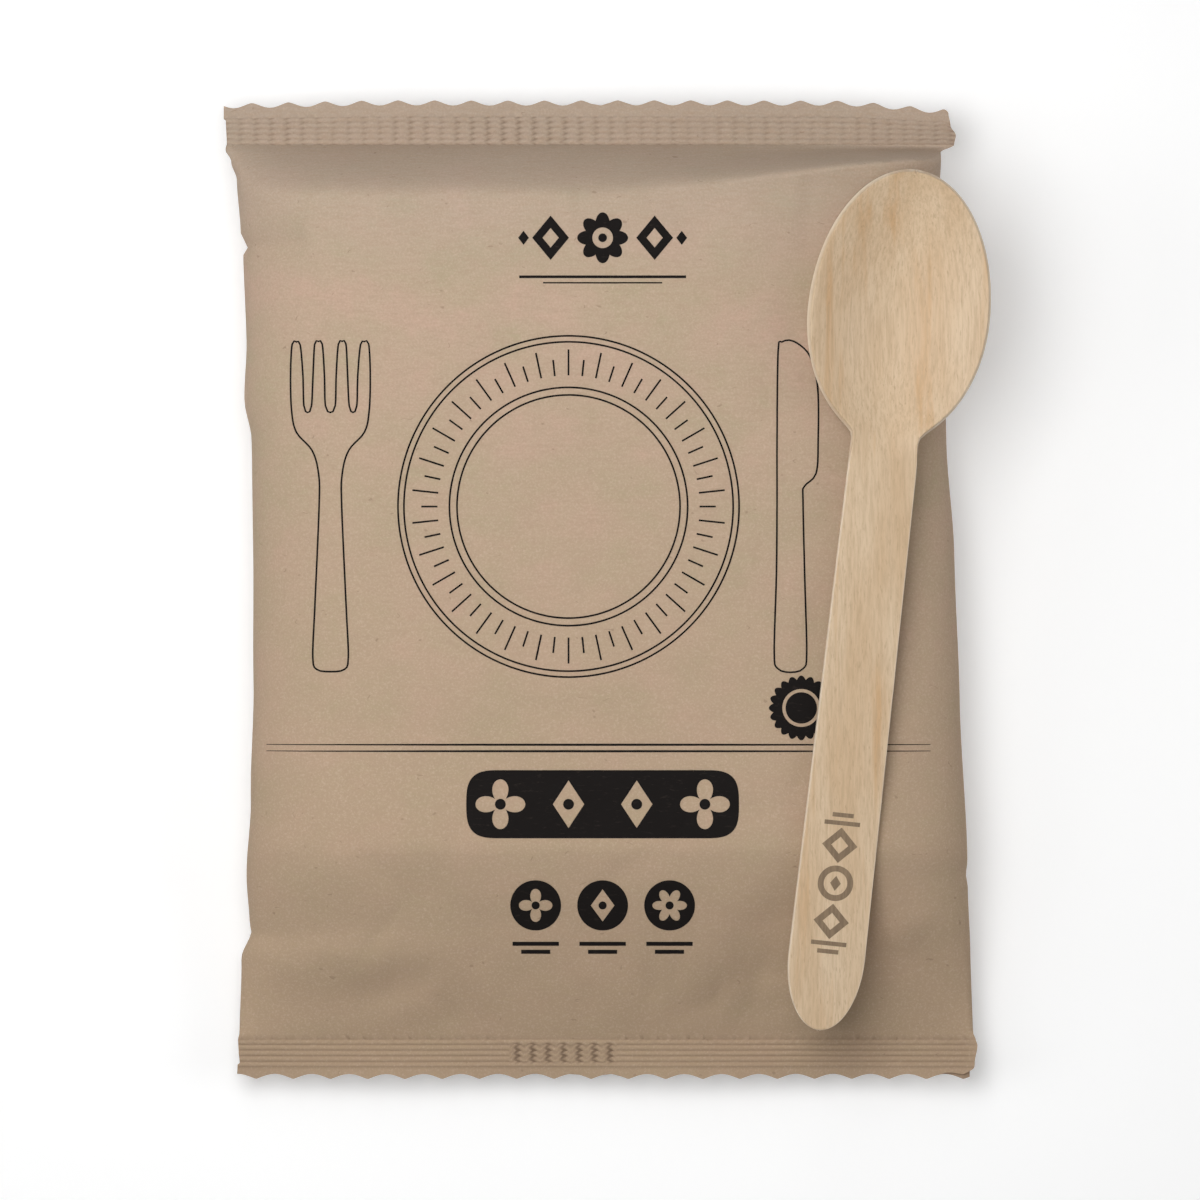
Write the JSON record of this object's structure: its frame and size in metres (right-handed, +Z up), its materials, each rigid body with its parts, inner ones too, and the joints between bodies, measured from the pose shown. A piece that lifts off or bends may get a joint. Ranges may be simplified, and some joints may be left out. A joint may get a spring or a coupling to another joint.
{
  "type": "wooden cutlery pack",
  "caption": "Sealed kraft paper pack of wooden spoons lying on its back, with crimped, pinked end seals, and a loose pressed birch spoon resting on top.",
  "frame": {"origin": "middle of the pack's underside, on the flat back seam that lies on the table", "axes": "+X across the pack to the right, +Y along it towards the top seal, +Z up from the table"},
  "size_m": [0.1423, 0.182, 0.0345],
  "materials": {
    "kraft_paper": "matt brown kraft with black print",
    "birch_veneer": "bare sanded birch"
  },
  "bodies": {
    "root": {"pouch": "kraft_paper", "spoon": "birch_veneer"}
  },
  "joints": []
}
